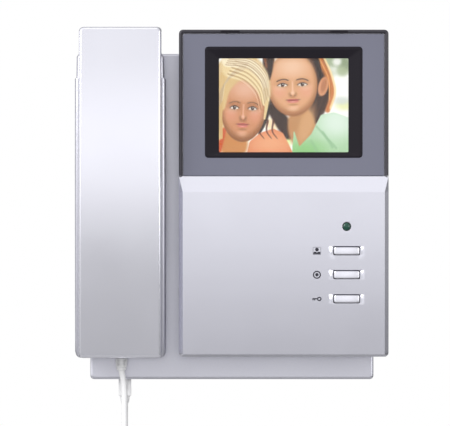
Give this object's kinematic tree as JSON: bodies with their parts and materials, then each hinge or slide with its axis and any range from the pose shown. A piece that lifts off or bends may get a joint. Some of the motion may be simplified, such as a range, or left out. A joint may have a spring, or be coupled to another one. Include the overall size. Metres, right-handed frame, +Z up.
{
  "type": "video intercom monitor",
  "caption": "Wall-mounted video door-entry monitor: flat screen, answer and door-release buttons, and a lift-off handset on a curly cord.",
  "frame": {"origin": "centre of the base on the back face of the wall bracket, where it lies on the wall", "axes": "+Z up, -Y out of the wall towards the user, +X to the user's right; the handset is on the -X side"},
  "size_m": [0.1947, 0.06, 0.3409],
  "materials": {
    "pearl_plastic": "pearl silver, satin gloss",
    "silver_plastic": "metallic silver paint, satin",
    "base_plastic": "silver grey, fine moulded texture",
    "charcoal_plastic": "charcoal, semi-gloss",
    "bezel_plastic": "slate grey, satin",
    "black_plastic": "black, satin",
    "clear_window": "clear",
    "screen_picture": "lit liquid-crystal picture",
    "white_plastic": "white, satin",
    "cord_pvc": "white PVC",
    "green_lens": "dark green, clear gloss",
    "circuit_board": "green solder mask",
    "zinc_steel": "zinc plated",
    "copper_winding": "enamelled copper"
  },
  "bodies": {
    "base": {"backlight_unit": "white_plastic", "base_case": "base_plastic", "brightness_pot": "circuit_board", "capacitor_large": "black_plastic", "capacitor_small": "black_plastic", "case_screw_1": "zinc_steel", "case_screw_2": "zinc_steel", "case_screw_3": "zinc_steel", "case_screw_4": "zinc_steel", "cord_curl": "cord_pvc", "cord_plug": "white_plastic", "cord_tail_lower": "cord_pvc", "cord_tail_upper": "cord_pvc", "display_board": "circuit_board", "door_relay": "black_plastic", "front_panel": "silver_plastic", "handset_jack": "black_plastic", "hook_switch": "black_plastic", "housing_screw_1": "zinc_steel", "housing_screw_2": "zinc_steel", "housing_screw_3": "zinc_steel", "housing_screw_4": "zinc_steel", "keypad_board": "circuit_board", "lcd_panel": "screen_picture", "lcd_tray": "zinc_steel", "led_lens": "green_lens", "lock_screw": "zinc_steel", "main_board": "circuit_board", "monitor_bezel": "bezel_plastic", "monitor_frame": "charcoal_plastic", "monitor_housing": "silver_plastic", "power_led": "green_lens", "power_switch_body": "zinc_steel", "power_transformer": "copper_winding", "rear_cover": "base_plastic", "ringer_speaker": "black_plastic", "screen_cowl": "black_plastic", "screen_window": "clear_window", "tact_switch_1": "black_plastic", "tact_switch_2": "black_plastic", "tact_switch_3": "black_plastic", "terminal_block": "white_plastic", "volume_pot": "circuit_board", "wall_bracket": "zinc_steel"},
    "handset": {"handset_cover": "pearl_plastic", "handset_shell": "pearl_plastic", "cord_boot": "cord_pvc", "receiver_capsule": "black_plastic", "microphone_capsule": "zinc_steel", "ballast_weight": "zinc_steel", "handset_screw_1": "zinc_steel", "handset_screw_2": "zinc_steel"},
    "plunger": {"hook_plunger": "white_plastic"},
    "monitor_key": {"monitor_button": "pearl_plastic"},
    "talk_key": {"talk_button": "pearl_plastic"},
    "door_key": {"door_button": "pearl_plastic"},
    "brightness_dial": {"brightness_wheel": "black_plastic"},
    "volume_dial": {"volume_wheel": "black_plastic"},
    "power_slider": {"power_switch_knob": "black_plastic"}
  },
  "joints": [
    {"name": "handset_lift", "type": "slide", "parent": "base", "child": "handset", "axis": [0, -0.9659, 0.2588], "range_m": [0, 0.09]},
    {"name": "hook_rise", "type": "slide", "parent": "base", "child": "plunger", "axis": [0, -1, 0], "range_m": [0, 0.003]},
    {"name": "monitor_press", "type": "slide", "parent": "base", "child": "monitor_key", "axis": [0, 1, 0], "range_m": [0, 0.0012], "stiffness_N_per_m": 1500},
    {"name": "talk_press", "type": "slide", "parent": "base", "child": "talk_key", "axis": [0, 1, 0], "range_m": [0, 0.0012], "stiffness_N_per_m": 1500},
    {"name": "door_press", "type": "slide", "parent": "base", "child": "door_key", "axis": [0, 1, 0], "range_m": [0, 0.0012], "stiffness_N_per_m": 1500},
    {"name": "brightness_turn", "type": "hinge", "parent": "base", "child": "brightness_dial", "pos_m": [0.089, -0.03, -0.002], "axis": [0, 1, 0], "range_deg": [-135, 135]},
    {"name": "volume_turn", "type": "hinge", "parent": "base", "child": "volume_dial", "pos_m": [0.089, -0.03, -0.024], "axis": [0, 1, 0], "range_deg": [-135, 135]},
    {"name": "power_slide", "type": "slide", "parent": "base", "child": "power_slider", "axis": [0, 0, 1], "range_m": [-0.004, 0]}
  ],
  "couplings": [
    {"joint": "hook_rise", "follows": "handset_lift", "ratio": 0.0333}
  ]
}
